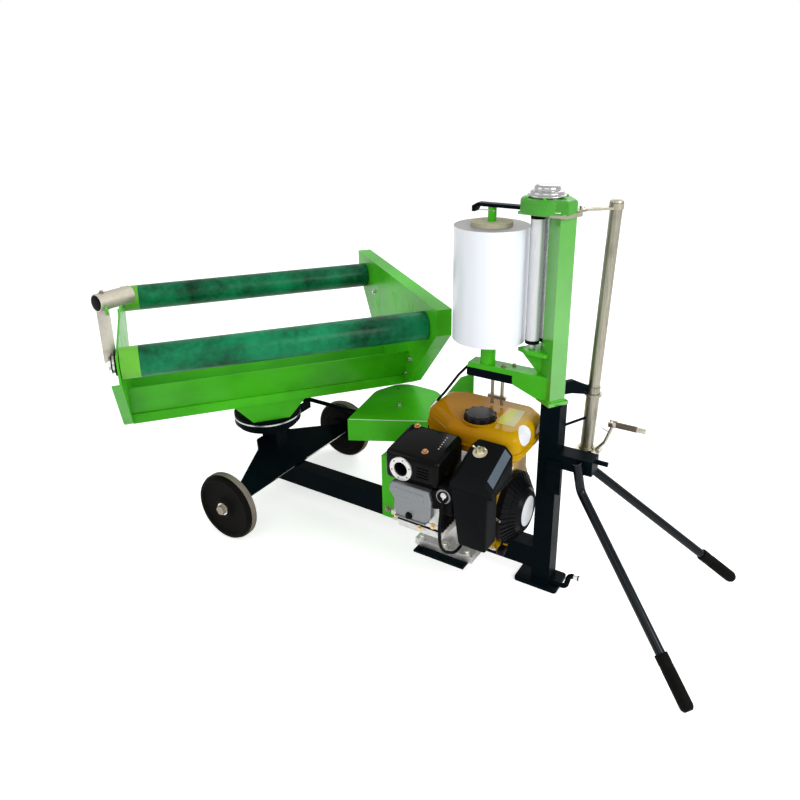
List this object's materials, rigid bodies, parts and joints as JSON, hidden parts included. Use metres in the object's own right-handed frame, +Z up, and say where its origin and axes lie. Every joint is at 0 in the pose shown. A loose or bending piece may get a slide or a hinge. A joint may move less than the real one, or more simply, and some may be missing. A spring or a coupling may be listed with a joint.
{
  "type": "bale wrapper",
  "caption": "Walk-behind wrapper for small round bales: turntable cradle with two rollers, petrol engine, post with stretch-film dispenser, two wheels and push handles",
  "frame": {"origin": "on the floor under the middle of the post, at the post's foot", "axes": "+X from the wheels towards the push handles, +Y away from the muffler's side, +Z up"},
  "size_m": [1.7093, 1.0261, 0.925],
  "materials": {
    "green_paint": "gloss",
    "light_green_paint": "gloss",
    "dark_paint": "gloss",
    "yellow_paint": "gloss",
    "muffler_paint": "matt",
    "wheel_rubber": "matt",
    "sleeve_rubber": "gloss",
    "black_plastic": "satin",
    "cord_rubber": "matt",
    "film": "gloss",
    "card": "matt",
    "zinc": "satin",
    "bright_steel": "satin",
    "rusty_steel": "rusted",
    "cast_aluminium": "cast",
    "aluminium": "satin",
    "chrome": "bright"
  },
  "bodies": {
    "base": {"base_beam": "dark_paint", "post": "dark_paint", "post_foot": "dark_paint", "axle_frame": "dark_paint", "pedestal": "dark_paint", "wheel_pins": "rusty_steel", "bearing_housing": "dark_paint", "bearing_rim": "bright_steel", "drive_guard": "green_paint", "shaft_bracket": "dark_paint", "drive_shaft": "dark_paint", "engine_plate": "dark_paint", "crankcase": "cast_aluminium", "rocker_cover": "cast_aluminium", "muffler": "muffler_paint", "outlet_ring": "cast_aluminium", "blower_housing": "yellow_paint", "recoil_starter": "black_plastic", "fuel_tank": "yellow_paint", "tank_cap": "black_plastic", "air_cleaner": "black_plastic", "carburettor": "cast_aluminium", "column": "green_paint", "gearbox": "green_paint", "gearbox_dome": "chrome", "stretch_bracket": "green_paint", "lower_arm": "green_paint", "arm_bar": "dark_paint", "upper_arm": "dark_paint", "film_spindle": "green_paint", "lever_tube": "zinc", "tube_strap": "zinc", "tube_stays": "dark_paint", "tension_rods": "bright_steel", "spark_lead": "cord_rubber", "throttle_cable": "cord_rubber", "lever_foot": "zinc", "hand_lever": "zinc", "handle_bracket": "dark_paint", "handles": "dark_paint", "grips": "black_plastic"},
    "wheel_near": {"wheel_near": "wheel_rubber"},
    "wheel_far": {"wheel_far": "wheel_rubber"},
    "turntable": {"table": "dark_paint", "saddle": "green_paint", "trough_floor": "green_paint", "trough_sides": "green_paint", "end_pan_right": "green_paint", "end_pan_left": "green_paint", "roller_rods": "bright_steel", "clamp_strap": "zinc", "clamp_bar": "zinc"},
    "roller_front": {"roller_front": "light_green_paint", "roller_sleeve_front": "sleeve_rubber"},
    "roller_rear": {"roller_rear": "light_green_paint", "roller_sleeve_rear": "sleeve_rubber"},
    "film_roll": {"film_roll": "film", "roll_core": "card"},
    "stretch_roller_near": {"stretch_roller_near": "aluminium"},
    "stretch_roller_far": {"stretch_roller_far": "aluminium"}
  },
  "joints": [
    {"name": "wheel_near_spin", "type": "hinge", "parent": "base", "child": "wheel_near", "pos_m": [-0.765, -0.2545, 0.09], "axis": [0, 1, 0], "continuous": true},
    {"name": "wheel_far_spin", "type": "hinge", "parent": "base", "child": "wheel_far", "pos_m": [-0.765, 0.2545, 0.09], "axis": [0, 1, 0], "continuous": true},
    {"name": "turntable_turn", "type": "hinge", "parent": "base", "child": "turntable", "pos_m": [-0.844, 0, 0.24], "axis": [0, 0, 1], "continuous": true},
    {"name": "roller_front_spin", "type": "hinge", "parent": "turntable", "child": "roller_front", "pos_m": [-0.62679, -0.15599, 0.532], "axis": [0.628, 0.7782, 0], "continuous": true},
    {"name": "roller_rear_spin", "type": "hinge", "parent": "turntable", "child": "roller_rear", "pos_m": [-1.04237, 0.17934, 0.532], "axis": [0.628, 0.7782, 0], "continuous": true},
    {"name": "film_roll_spin", "type": "hinge", "parent": "base", "child": "film_roll", "pos_m": [-0.16, 0, 0.7085], "axis": [0, 0, 1], "continuous": true},
    {"name": "stretch_near_spin", "type": "hinge", "parent": "base", "child": "stretch_roller_near", "pos_m": [-0.057, -0.002, 0.73], "axis": [0, 0, 1], "continuous": true},
    {"name": "stretch_far_spin", "type": "hinge", "parent": "base", "child": "stretch_roller_far", "pos_m": [-0.04, 0.026, 0.73], "axis": [0, 0, 1], "continuous": true}
  ],
  "couplings": [
    {"joint": "stretch_far_spin", "follows": "stretch_near_spin", "ratio": -1}
  ]
}
